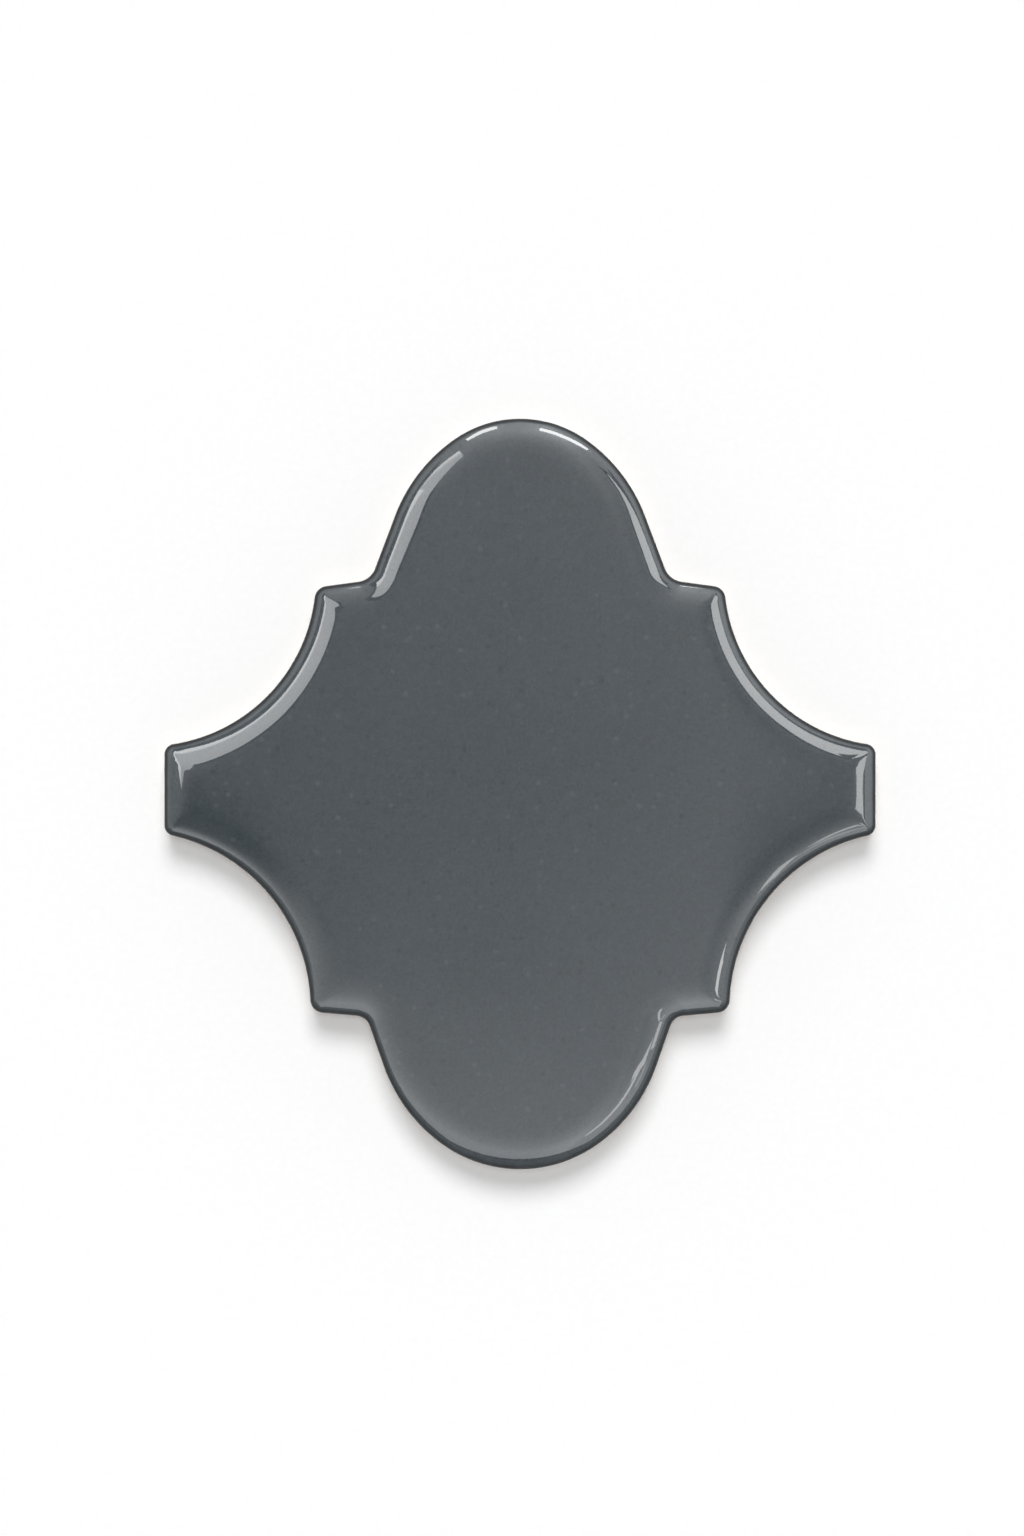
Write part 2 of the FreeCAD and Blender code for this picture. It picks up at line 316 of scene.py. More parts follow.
def wall_finder(stations):
    """A search tree that gives the distance from a point to the nearest wall."""
    tree = KDTree(len(stations))
    for number, (point, _) in enumerate(stations):
        tree.insert((point.x, point.y, 0), number)
    tree.balance()
    return lambda point: tree.find((point.x, point.y, 0))[2]


def inside_outline(point, loop):
    """Whether a point in plan lies inside a closed loop."""
    inside = False
    for (ax, ay), (bx, by) in zip(loop, loop[1:] + loop[:1]):
        if (ay > point.y) != (by > point.y) and point.x < (bx - ax) * (point.y - ay) / (by - ay) + ax:
            inside = not inside
    return inside


def face_points(stations, ring, first_inset, wall_distance):
    """Points of the glazed face inside its last rim row: rows over the crown, then an even field."""
    field = PointField(CLOSEST_POINTS)
    for point in ring:
        field.force(point)
    distance = first_inset + CROWN_STEP
    while distance < CROWN_WIDTH + CROWN_STEP:
        for station in stations:
            point = inset(station, distance)
            if wall_distance(point) > distance - ROW_TOLERANCE:
                field.add(point)
        distance += CROWN_STEP
    loop = [tuple(point) for point, _ in stations]
    row_height = FIELD_STEP * math.sqrt(3) / 2
    rows = math.ceil(UPPER_HALF["lobe_height"] / row_height)
    columns = math.ceil(TILE_WIDTH / 2 / FIELD_STEP)
    for row in range(-rows, rows + 1):
        for column in range(-columns, columns + 1):
            point = Vector(((column + 0.5 * (row % 2)) * FIELD_STEP, row * row_height))
            clear = wall_distance(point) > distance - CROWN_STEP * FIELD_OVERLAP
            if clear and inside_outline(point, loop):
                field.add(point)
    return field.points


def groove_lines(stations, wall_distance):
    """Points and edges of the grooved part of the back: its border and both sides of every groove."""
    border = []
    for station in stations:
        point = inset(station, GROOVE_BORDER)
        if wall_distance(point) > GROOVE_BORDER - LEVEL_TOLERANCE:
            border.append(point)
    levels = []
    for row in range(-GROOVE_ROWS, GROOVE_ROWS + 1):
        levels += [row * GROOVE_PITCH - GROOVE_WIDTH / 2, row * GROOVE_PITCH + GROOVE_WIDTH / 2]
    points = []
    crossings = {level: [] for level in levels}
    for start, finish in zip(border, border[1:] + border[:1]):
        points.append(start)
        crossed = [level for level in levels if min(start.y, finish.y) < level < max(start.y, finish.y)]
        crossed.sort(key=lambda level: abs(level - start.y))
        for level in crossed:
            crossings[level].append(len(points))
            points.append(start.lerp(finish, (level - start.y) / (finish.y - start.y)))
    edges = [(number, (number + 1) % len(points)) for number in range(len(points))]
    for level in levels:
        row = sorted(crossings[level], key=lambda number: points[number].x)
        edges += zip(row[::2], row[1::2])
    return points, edges


def triangulated(points, loop, edges):
    """Points in plan joined into triangles inside a loop, along every given edge."""
    inside_only = 1
    merge_distance = 1e-9
    joined_up = delaunay_2d_cdt(points, edges, [loop], inside_only, merge_distance, True)
    placed, _, triangles, origins, _, loops = joined_up
    inside = [triangle for triangle, enclosing in zip(triangles, loops) if enclosing]
    return placed, inside, origins


def make_blank(name):
    """The tile as it leaves the press: flat on both sides, with every line that the forming needs."""
    stations = tile_outline(BLANK_STEPS)
    count = len(stations)
    wall_distance = wall_finder(stations)
    points = []
    faces = []

    def add_ring(distance, height):
        """Adds a ring of points at an inset; returns the number of its first point."""
        first = len(points)
        for station in stations:
            point = inset(station, distance)
            points.append((point.x, point.y, height))
        return first

    def bridge(outer, inner):
        """Joins two rings with a band of faces."""
        for number in range(count):
            after = (number + 1) % count
            faces.append((outer + number, inner + number, inner + after, outer + after))

    def add_sheet(ring, plan, edges, height, upward):
        """Fills a ring with a triangulated sheet; the plan's first points are the ring's own."""
        placed, triangles, origins = triangulated(plan, list(range(count))[::-1], edges)
        numbers = []
        for point, origin in zip(placed, origins):
            if origin and origin[0] < count:
                numbers.append(ring + origin[0])
            else:
                numbers.append(len(points))
                points.append((point.x, point.y, height))
        for triangle in triangles:
            a, b, c = (placed[corner] for corner in triangle)
            anticlockwise = (b - a).cross(c - a) > 0
            corners = [numbers[corner] for corner in triangle]
            faces.append(corners if anticlockwise == upward else corners[::-1])

    # glazed face
    insets = rim_insets()
    rings = [add_ring(distance, TILE_THICKNESS) for distance in insets]
    for outer, inner in zip(rings, rings[1:]):
        bridge(outer, inner)
    last_ring = [inset(station, insets[-1]) for station in stations]
    plan = face_points(stations, last_ring, insets[-1], wall_distance)
    add_sheet(rings[-1], plan, [], TILE_THICKNESS, True)

    # wall and arris
    above = rings[0]
    for height in WALL_ROWS:
        below = add_ring(0, height)
        bridge(below, above)
        above = below
    foot = add_ring(BACK_ARRIS, 0)
    bridge(foot, above)

    # back
    back_ring = [inset(station, BACK_ARRIS) for station in stations]
    groove_points, groove_edges = groove_lines(stations, wall_distance)
    groove_edges = [(start + count, finish + count) for start, finish in groove_edges]
    add_sheet(foot, back_ring + groove_points, groove_edges, 0, False)

    # wall line: a loose loop along the upper outline, from which the forming measures
    line_start = len(points)
    wall_line = [point for point, _ in tile_outline(WALL_LINE_STEPS)]
    points += [(point.x, point.y, TILE_THICKNESS) for point in wall_line]
    line_end = len(points)
    line_edges = [(number, number + 1) for number in range(line_start, line_end - 1)]
    line_edges.append((line_end - 1, line_start))

    mesh = bpy.data.meshes.new(name)
    mesh.from_pydata(points, line_edges, faces, shade_flat=False)
    mesh.update(calc_edges=True)
    wall_mark = mesh.attributes.new("wall_line", "BOOLEAN", "EDGE")
    wall_mark.data.foreach_set("value", [edge.vertices[0] >= line_start for edge in mesh.edges])
    return add_object(name, mesh)


# Objects and nodes


def add_object(name, data):
    """Puts a new object in the scene."""
    thing = bpy.data.objects.new(name, data)
    bpy.context.scene.collection.objects.link(thing)
    return thing


def put(tree, kind, **settings):
    """Adds a node and sets its properties."""
    node = tree.nodes.new(kind)
    for key, value in settings.items():
        setattr(node, key, value)
    return node


def feed(tree, socket, value):
    """Links a socket to an output, or sets its value."""
    if isinstance(value, bpy.types.NodeSocket):
        tree.links.new(value, socket)
    else:
        socket.default_value = value


def feed_by_name(tree, node, values):
    """Feeds a node's inputs by name."""
    for name, value in values.items():
        feed(tree, node.inputs[name], value)


def feed_in_order(tree, node, values):
    """Feeds a node's first inputs; returns its first output."""
    for socket, value in zip(node.inputs, values):
        feed(tree, socket, value)
    return node.outputs[0]


def calc(tree, operation, *numbers):
    """A Math node; returns its result."""
    return feed_in_order(tree, put(tree, "ShaderNodeMath", operation=operation), numbers)


def squared(tree, value):
    """A number times itself."""
    return calc(tree, "MULTIPLY", value, value)


def spread(tree, value, from_min, from_max, to_min, to_max):
    """A smooth change from one level to another."""
    node = put(tree, "ShaderNodeMapRange", interpolation_type="SMOOTHSTEP")
    return feed_in_order(tree, node, (value, from_min, from_max, to_min, to_max))


def vector_calc(tree, operation, *vectors):
    """A Vector Math node; returns its vector."""
    return feed_in_order(tree, put(tree, "ShaderNodeVectorMath", operation=operation), vectors)


def vector_length(tree, vector):
    """The length of a vector."""
    node = put(tree, "ShaderNodeVectorMath", operation="LENGTH")
    feed(tree, node.inputs[0], vector)
    return node.outputs["Value"]


def parted(tree, vector):
    """The X, Y and Z of a vector."""
    node = put(tree, "ShaderNodeSeparateXYZ")
    feed(tree, node.inputs[0], vector)
    return node.outputs


def joined(tree, x, y, z):
    """A vector from its X, Y and Z."""
    return feed_in_order(tree, put(tree, "ShaderNodeCombineXYZ"), (x, y, z))


def floats(names):
    """Named sockets that hold a number."""
    return [(name, "Float") for name in names]


def new_group(kind, name, inputs, outputs):
    """A node group with named sockets; returns the group and its input sockets by name."""
    group = bpy.data.node_groups.new(name, kind)
    for in_out, sockets in (("INPUT", inputs), ("OUTPUT", outputs)):
        for socket, socket_kind in sockets:
            group.interface.new_socket(socket, in_out=in_out, socket_type="NodeSocket" + socket_kind)
    entry = put(group, "NodeGroupInput")
    return group, {socket.name: socket for socket in entry.outputs if socket.name}


def put_out(group, values):
    """Feeds a group's outputs by name."""
    feed_by_name(group, put(group, "NodeGroupOutput"), values)


def place_group(tree, group, values):
    """Places a node group and feeds the inputs that have a value; returns its outputs by name."""
    node = put(tree, group.bl_idname.replace("Tree", "Group"), node_tree=group)
    for socket in node.inputs:
        if socket.name in values:
            feed(tree, socket, values[socket.name])
    return {socket.name: socket for socket in node.outputs}


# Forming: grooves, crown and glaze


RIM_SIZES = ("Thickness", "Crown Width", "Crown Radius", "Edge Radius", "Meeting Angle")
FACE_SIZES = RIM_SIZES + ("Corner Softening", "Glaze Sway", "Seed")
BACK_SIZES = ("Groove Width", "Groove Pitch", "Groove Depth", "Groove Border", "Groove Rows", "Back Height")


def compare(tree, operation, first, second):
    """A comparison of two numbers."""
    node = put(tree, "FunctionNodeCompare", data_type="FLOAT", operation=operation)
    return feed_in_order(tree, node, (first, second))


def both(tree, first, second):
    """True where two conditions hold."""
    return feed_in_order(tree, put(tree, "FunctionNodeBooleanMath", operation="AND"), (first, second))


def either(tree, kind, condition, otherwise, where_true):
    """One of two values, picked by a condition."""
    node = put(tree, "GeometryNodeSwitch", input_type=kind)
    return feed_in_order(tree, node, (condition, otherwise, where_true))


def mark_on(tree, kind, name):
    """A named mark that the mesh holds."""
    node = put(tree, "GeometryNodeInputNamedAttribute", data_type=kind)
    return feed_in_order(tree, node, (name,))


def store_mark(tree, geometry, kind, name, value, selection=True):
    """Stores a named mark on the points; returns the geometry."""
    node = put(tree, "GeometryNodeStoreNamedAttribute", data_type=kind, domain="POINT")
    values = {"Geometry": geometry, "Selection": selection, "Name": name, "Value": value}
    feed_by_name(tree, node, values)
    return node.outputs[0]


def remove_mark(tree, geometry, name):
    """Takes a named mark off; returns the geometry."""
    node = put(tree, "GeometryNodeRemoveAttribute")
    feed_by_name(tree, node, {"Geometry": geometry, "Name": name})
    return node.outputs[0]


def covered_with(tree, geometry, material, selection=True):
    """Gives faces a material; returns the geometry."""
    node = put(tree, "GeometryNodeSetMaterial")
    feed_by_name(tree, node, {"Geometry": geometry, "Selection": selection, "Material": material})
    return node.outputs[0]


def rim_rule():
    """Node group: height of the face at a distance from the wall, over edge radius, crown and level."""
    inputs = floats(("Distance",) + RIM_SIZES)
    tree, sizes = new_group("GeometryNodeTree", "rim_rule", inputs, floats(("Height", "Blend")))
    distance = sizes["Distance"]
    crown_width = sizes["Crown Width"]
    crown_radius = sizes["Crown Radius"]
    edge_radius = sizes["Edge Radius"]

    def arc_rise(radius, offset):
        """Height of an arc above its centre, at an offset from it."""
        room = calc(tree, "SUBTRACT", squared(tree, radius), squared(tree, offset))
        return calc(tree, "SQRT", calc(tree, "MAXIMUM", room, 0.0))

    crown_floor = calc(tree, "SUBTRACT", sizes["Thickness"], crown_radius)
    crown_offset = calc(tree, "MAXIMUM", calc(tree, "SUBTRACT", crown_width, distance), 0.0)
    on_crown = calc(tree, "ADD", crown_floor, arc_rise(crown_radius, crown_offset))

    edge_inset = calc(tree, "MULTIPLY", edge_radius, calc(tree, "COSINE", sizes["Meeting Angle"]))
    edge_reach = calc(tree, "SUBTRACT", crown_width, edge_inset)
    radius_gap = calc(tree, "SUBTRACT", crown_radius, edge_radius)
    edge_floor = calc(tree, "ADD", crown_floor, arc_rise(radius_gap, edge_reach))
    edge_offset = calc(tree, "SUBTRACT", edge_inset, distance)
    on_edge = calc(tree, "ADD", edge_floor, arc_rise(edge_radius, edge_offset))

    lean = calc(tree, "DIVIDE", edge_reach, radius_gap)
    blend = calc(tree, "SUBTRACT", crown_width, calc(tree, "MULTIPLY", crown_radius, lean))
    before_blend = compare(tree, "LESS_THAN", distance, blend)
    put_out(tree, {"Height": either(tree, "FLOAT", before_blend, on_crown, on_edge), "Blend": blend})
    return tree


def glazed_face():
    """Node group: height of the glazed face at a place in plan, with soft mitres and slow waves."""
    inputs = [("Wall Line", "Geometry"), ("Place", "Vector")] + floats(FACE_SIZES)
    outputs = floats(("Height", "Distance", "Blend"))
    tree, sizes = new_group("GeometryNodeTree", "glazed_face", inputs, outputs)
    rule = rim_rule()
    x, y, _ = parted(tree, sizes["Place"])
    level = joined(tree, x, y, sizes["Thickness"])

    def distance_at(place):
        """Distance from a place to the nearest wall."""
        nearest = put(tree, "GeometryNodeProximity", target_element="EDGES")
        feed(tree, nearest.inputs[0], sizes["Wall Line"])
        feed(tree, nearest.inputs["Sample Position"], place)
        return nearest.outputs["Distance"]

    def ruled(distance):
        """Height and blend that the rim rule gives at a distance."""
        return place_group(tree, rule, sizes | {"Distance": distance})

    distance = distance_at(level)
    middle = ruled(distance)
    room = calc(tree, "MAXIMUM", calc(tree, "SUBTRACT", distance, middle["Blend"]), 0.0)
    reach = calc(tree, "MINIMUM", calc(tree, "MULTIPLY", room, SOFTENING_SHARE), sizes["Corner Softening"])

    # the mean height over rings of places round the point rounds the mitres where two rims meet
    total = middle["Height"]
    for spokes, share in SOFTENING_RINGS:
        for spoke in range(spokes):
            direction = heading(2 * math.pi * spoke / spokes) * share
            offset = put(tree, "ShaderNodeVectorMath", operation="SCALE")
            offset.inputs[0].default_value = (direction.x, direction.y, 0)
            feed(tree, offset.inputs["Scale"], reach)
            place = vector_calc(tree, "ADD", level, offset.outputs[0])
            total = calc(tree, "ADD", total, ruled(distance_at(place))["Height"])
    places = 1 + sum(spokes for spokes, _ in SOFTENING_RINGS)
    mean = calc(tree, "DIVIDE", total, places)

    # the glaze sinks a little in slow waves, and holds at the rim
    noise = put(tree, "ShaderNodeTexNoise", noise_dimensions="4D")
    feed_by_name(tree, noise, {"Vector": level, "W": sizes["Seed"], "Scale": GLAZE_WAVE_SCALE, "Detail": 0.0})
    waves = calc(tree, "MULTIPLY", noise.outputs[0], sizes["Glaze Sway"])
    hold = spread(tree, distance, middle["Blend"], sizes["Crown Width"], 0.0, 1.0)
    height = calc(tree, "SUBTRACT", mean, calc(tree, "MULTIPLY", waves, hold))
    put_out(tree, {"Height": height, "Distance": distance, "Blend": middle["Blend"]})
    return tree


def in_grooves(tree, sizes, y, z, wall_distance):
    """Condition: faces of the back that lie in a groove row, inside the border."""
    row = calc(tree, "ROUND", calc(tree, "DIVIDE", y, sizes["Groove Pitch"]))
    row_middle = calc(tree, "MULTIPLY", row, sizes["Groove Pitch"])
    off_row = calc(tree, "ABSOLUTE", calc(tree, "SUBTRACT", y, row_middle))
    in_row = compare(tree, "LESS_THAN", off_row, calc(tree, "MULTIPLY", sizes["Groove Width"], 0.5))
    past_last_row = calc(tree, "ADD", sizes["Groove Rows"], 0.5)
    row_counts = compare(tree, "LESS_THAN", calc(tree, "ABSOLUTE", row), past_last_row)
    in_border = compare(tree, "GREATER_THAN", wall_distance, sizes["Groove Border"])
    on_back = compare(tree, "LESS_THAN", z, LEVEL_TOLERANCE)
    return both(tree, both(tree, in_row, row_counts), both(tree, in_border, on_back))


def pressed_in(tree, body, selection, depth):
    """Presses faces of the back upwards into the body; returns the geometry."""
    node = put(tree, "GeometryNodeExtrudeMesh", mode="FACES")
    values = {
        "Mesh": body,
        "Selection": selection,
        "Offset": joined(tree, 0.0, 0.0, 1.0),
        "Offset Scale": depth,
        "Individual": False,
    }
    feed_by_name(tree, node, values)
    return node.outputs["Mesh"]


def shaded(tree, geometry):
    """Crisp at the arris and the grooves, smooth elsewhere, and true to the face's marked normal."""
    angle = put(tree, "GeometryNodeInputMeshEdgeAngle").outputs["Unsigned Angle"]
    smooth = put(tree, "GeometryNodeSetShadeSmooth", domain="EDGE")
    feed(tree, smooth.inputs[0], geometry)
    feed(tree, smooth.inputs["Shade Smooth"], compare(tree, "LESS_THAN", angle, SHARP_TURN))
    face_normal = mark_on(tree, "FLOAT_VECTOR", "face_normal")
    marked = compare(tree, "GREATER_THAN", vector_length(tree, face_normal), 0.5)
    mesh_normal = put(tree, "GeometryNodeInputNormal").outputs[0]
    normals = put(tree, "GeometryNodeSetMeshNormal", mode="FREE", domain="CORNER")
    feed(tree, normals.inputs["Mesh"], smooth.outputs[0])
    feed(tree, normals.inputs["Custom Normal"], either(tree, "VECTOR", marked, mesh_normal, face_normal))
    return normals.outputs[0]


def forming_tree():
    """Geometry nodes that press the back grooves, crown the face and let the glaze run."""
    materials = [("Glaze", "Material"), ("Clay", "Material")]
    inputs = [("Blank", "Geometry")] + floats(FACE_SIZES + BACK_SIZES) + materials
    tree, sizes = new_group("GeometryNodeTree", "tile_forming", inputs, [("Tile", "Geometry")])
    face = glazed_face()
    position = put(tree, "GeometryNodeInputPosition").outputs[0]
    x, y, z = parted(tree, position)

    # the wall line is taken off the blank
    walls = put(tree, "GeometryNodeSeparateGeometry", domain="EDGE")
    wall_mark = mark_on(tree, "BOOLEAN", "wall_line")
    feed_by_name(tree, walls, {"Geometry": sizes["Blank"], "Selection": wall_mark})

    def face_at(x_shift, y_shift):
        """Height of the face, distance and blend, beside each point."""
        place = vector_calc(tree, "ADD", position, (x_shift, y_shift, 0))
        values = {"Wall Line": walls.outputs["Selection"], "Place": place}
        return place_group(tree, face, sizes | values)

    here = face_at(0, 0)
    grooved = in_grooves(tree, sizes, y, z, here["Distance"])
    pressed = pressed_in(tree, walls.outputs["Inverted"], grooved, sizes["Groove Depth"])

    # the glazed face takes its height
    face_level = calc(tree, "SUBTRACT", sizes["Thickness"], LEVEL_TOLERANCE)
    formed = put(tree, "GeometryNodeSetPosition")
    feed(tree, formed.inputs["Geometry"], pressed)
    feed(tree, formed.inputs["Selection"], compare(tree, "GREATER_THAN", z, face_level))
    feed(tree, formed.inputs["Position"], joined(tree, x, y, here["Height"]))

    # marks on the mesh: the distance to the wall for the glaze, and the face's own normal for the shading
    rim_marked = store_mark(tree, formed.outputs[0], "FLOAT", "rim_inset", here["Distance"])
    step = NORMAL_STEP
    fall_x = calc(tree, "SUBTRACT", face_at(-step, 0)["Height"], face_at(step, 0)["Height"])
    fall_y = calc(tree, "SUBTRACT", face_at(0, -step)["Height"], face_at(0, step)["Height"])
    square_out = vector_calc(tree, "NORMALIZE", joined(tree, fall_x, fall_y, 2 * step))
    on_face = compare(tree, "GREATER_THAN", z, calc(tree, "MULTIPLY", sizes["Thickness"], 0.5))
    past_edge = compare(tree, "GREATER_THAN", here["Distance"], here["Blend"])
    crowned = both(tree, on_face, past_edge)
    marked = store_mark(tree, rim_marked, "FLOAT_VECTOR", "face_normal", square_out, crowned)
    cleared = shaded(tree, marked)
    for name in ("face_normal", "wall_line"):
        cleared = remove_mark(tree, cleared, name)

    realized = put(tree, "GeometryNodeRealizeInstances")
    feed(tree, realized.inputs[0], cleared)
    glazed = covered_with(tree, realized.outputs[0], sizes["Glaze"])
    bare = compare(tree, "LESS_THAN", z, sizes["Back Height"])
    put_out(tree, {"Tile": covered_with(tree, glazed, sizes["Clay"], bare)})
    return tree


def make_tile(glaze, clay):
    """The finished tile as one plain mesh."""
    blank = make_blank("pressed_blank")
    forming = blank.modifiers.new("forming", "NODES")
    forming.node_group = forming_tree()
    values = {
        "Thickness": TILE_THICKNESS,
        "Crown Width": CROWN_WIDTH,
        "Crown Radius": CROWN_RADIUS,
        "Edge Radius": RIM_EDGE_RADIUS,
        "Meeting Angle": RIM_MEETING_ANGLE,
        "Groove Width": GROOVE_WIDTH,
        "Groove Pitch": GROOVE_PITCH,
        "Groove Depth": GROOVE_DEPTH,
        "Groove Border": GROOVE_BORDER,
        "Groove Rows": float(GROOVE_ROWS),
        "Back Height": BARE_BACK_HEIGHT,
        "Corner Softening": CORNER_SOFTENING,
        "Glaze Sway": GLAZE_SWAY,
        "Seed": GLAZE_SEED,
        "Glaze": glaze,
        "Clay": clay,
    }
    for socket in forming.node_group.interface.items_tree:
        if socket.name in values and socket.in_out == "INPUT":
            forming[socket.identifier] = values[socket.name]
    shaped = blank.evaluated_get(bpy.context.evaluated_depsgraph_get())
    mesh = bpy.data.meshes.new_from_object(shaped)
    mesh.name = "glazed_tile"
    tile = add_object("glazed_tile", mesh)
    blank.modifiers.clear()
    bpy.data.objects.remove(blank)
    return tile


# Finishes, with colours from their dark tone to their light one


CLAY_BODY = [(0.50, 0.40, 0.30), (0.62, 0.52, 0.41)]
CLAY_SAND = [(0.36, 0.28, 0.21), (0.75, 0.66, 0.55)]
CLAY_GROG = (0.22, 0.15, 0.10)
GLAZE_CLOUDS = [(0.0425, 0.0540, 0.0615), (0.0495, 0.0620, 0.0705)]
GLAZE_CURDS = [(0.035, 0.045, 0.051), (0.057, 0.071, 0.081)]
GLAZE_GRAIN = [(0.020, 0.027, 0.031), (0.072, 0.089, 0.101)]
GLAZE_PLAIN = (0.047, 0.059, 0.067)
DARK_SPOT = (0.016, 0.020, 0.023)
LIGHT_SPOT = (0.100, 0.118, 0.130)
# painted shade: a near-black line along the rim edge, where the glaze also thins
THIN_EDGE_SHADE = (0.010, 0.012, 0.014)
TABLE_WHITE = [(0.965, 0.965, 0.965), (0.985, 0.985, 0.985)]

# Scales of the patterns, as repeats in a metre
CLAY_CLOUD_SCALE = 70.0
SAND_SCALE = 1500.0
CLOUD_SCALE = 38.0
CURD_SCALE = 330.0
GRAIN_SCALE = 2600.0
SPOT_SCALE = 560.0
GLAZE_LINE_SCALE = 120.0
PEEL_SCALE = 900.0
PAPER_SCALE = 900.0


def ramp(tree, value, stops):
    """A colour ramp of (position, colour) stops; returns its colour."""
    node = put(tree, "ShaderNodeValToRGB")
    feed(tree, node.inputs[0], value)
    elements = node.color_ramp.elements
    while len(elements) < len(stops):
        elements.new(1.0)
    for element, (position, colour) in zip(elements, stops):
        element.position = position
        element.color = (*colour, 1.0)
    return node.outputs[0]


def two_tones(tree, value, low, high, tones):
    """A colour that goes from a dark tone to a light one between two levels of a value."""
    return ramp(tree, value, list(zip((low, high), tones)))


def mottle(tree, vector, scale, detail, roughness=0.5):
    """A cloudy noise; returns its value."""
    node = put(tree, "ShaderNodeTexNoise")
    feed_by_name(tree, node, {"Vector": vector, "Scale": scale, "Detail": detail, "Roughness": roughness})
    return node.outputs[0]


def scatter(tree, vector, scale):
    """Scattered cells; returns the distance from the middle of each cell and the cell's own colour."""
    node = put(tree, "ShaderNodeTexVoronoi", feature="F1")
    feed_by_name(tree, node, {"Vector": vector, "Scale": scale})
    return node.outputs["Distance"], node.outputs["Color"]


def blend_colour(tree, factor, first, second):
    """Mixes two colours, which are inputs 6 and 7 and output 2 of a Mix node."""
    node = put(tree, "ShaderNodeMix", data_type="RGBA")
    feed(tree, node.inputs["Factor"], factor)
    feed(tree, node.inputs[6], first)
    feed(tree, node.inputs[7], second)
    return node.outputs[2]


def blend_value(tree, factor, first, second):
    """Mixes two numbers, which are inputs 2 and 3 of a Mix node."""
    node = put(tree, "ShaderNodeMix", data_type="FLOAT")
    feed(tree, node.inputs["Factor"], factor)
    feed(tree, node.inputs[2], first)
    feed(tree, node.inputs[3], second)
    return node.outputs[0]


def relief_normal(tree, height, strength, distance):
    """The normal of a surface with fine relief."""
    node = put(tree, "ShaderNodeBump")
    feed_by_name(tree, node, {"Strength": strength, "Distance": distance, "Height": height})
    return node.outputs[0]


def object_place(tree):
    """The coordinates of an object's own space."""
    return put(tree, "ShaderNodeTexCoord").outputs["Object"]


def empty_material(name):
    """A material with nothing but its output; returns the material, its tree and its surface socket."""
    material = bpy.data.materials.new(name)
    material.use_nodes = True
    tree = material.node_tree
    tree.nodes.clear()
    output = put(tree, "ShaderNodeOutputMaterial")
    return material, tree, output.inputs["Surface"]


def new_finish(name):
    """A material with its shader; returns the material, its tree, the shader and the object's coordinates."""
    material, tree, surface = empty_material(name)
    shader = put(tree, "ShaderNodeBsdfPrincipled")
    feed(tree, surface, shader.outputs[0])
    return material, tree, shader, object_place(tree)


def fired_clay():
    """Node group: buff clay with sandy mottling, dark grog specks and open pores."""
    inputs = [("Vector", "Vector"), ("Sand Scale", "Float")]
    outputs = [("Color", "Color"), ("Roughness", "Float"), ("Height", "Float")]
    group, given = new_group("ShaderNodeTree", "fired_clay", inputs, outputs)
    vector = given["Vector"]
    sand_scale = given["Sand Scale"]

    grog_share = 0.45
    sand_cover = 0.35
    speck_cover = 0.5
    pore_depth = 0.6

    cloud = mottle(group, vector, CLAY_CLOUD_SCALE, 3.0)
    sand = mottle(group, vector, sand_scale, 4.0)
    grog, _ = scatter(group, vector, calc(group, "MULTIPLY", sand_scale, grog_share))
    speck = spread(group, grog, 0.1, 0.22, 1.0, 0.0)

    body = two_tones(group, cloud, 0.3, 0.7, CLAY_BODY)
    grains = two_tones(group, sand, 0.35, 0.65, CLAY_SAND)
    sandy = blend_colour(group, sand_cover, body, grains)
    colour = blend_colour(group, calc(group, "MULTIPLY", speck, speck_cover), sandy, (*CLAY_GROG, 1.0))
    roughness = spread(group, sand, 0.3, 0.7, 0.82, 0.95)
    height = calc(group, "SUBTRACT", sand, calc(group, "MULTIPLY", speck, pore_depth))
    put_out(group, {"Color": colour, "Roughness": roughness, "Height": height})
    return group


def bare_clay_finish(clay):
    """The unglazed back."""
    material, tree, shader, vector = new_finish("bare_clay_back")
    bare = place_group(tree, clay, {"Vector": vector, "Sand Scale": SAND_SCALE})
    values = {
        "Base Color": bare["Color"],
        "Roughness": bare["Roughness"],
        "Specular IOR Level": 0.2,
        "Normal": relief_normal(tree, bare["Height"], 0.5, 0.2 * MM),
    }
    feed_by_name(tree, shader, values)
    return material


def glaze_colour(tree, vector, curdle, thin_and_shaded):
    """Colour of the glaze: slow clouds, a finer curdling, pigment grain and spots, and painted shade in a
    dark line along the thin edge.
    """
    curd_cover = 0.1
    grain_cover = 0.26
    spot_cover = 0.36
    clouds = two_tones(tree, mottle(tree, vector, CLOUD_SCALE, 2.0), 0.32, 0.68, GLAZE_CLOUDS)
    curds = two_tones(tree, curdle, 0.35, 0.65, GLAZE_CURDS)
    grain = two_tones(tree, mottle(tree, vector, GRAIN_SCALE, 2.0, 0.6), 0.35, 0.65, GLAZE_GRAIN)
    curdled = blend_colour(tree, curd_cover, clouds, curds)
    grained = blend_colour(tree, grain_cover, curdled, grain)
    from_middle, cell_colour = scatter(tree, vector, SPOT_SCALE)
    spot = spread(tree, from_middle, 0.12, 0.32, spot_cover, 0.0)
    spot_stops = [(0.2, DARK_SPOT), (0.38, GLAZE_PLAIN), (0.62, GLAZE_PLAIN), (0.82, LIGHT_SPOT)]
    spotted = blend_colour(tree, spot, grained, ramp(tree, cell_colour, spot_stops))
    # painted shade: the colour goes near-black along the thin rim edge
    return blend_colour(tree, thin_and_shaded, (*THIN_EDGE_SHADE, 1.0), spotted)


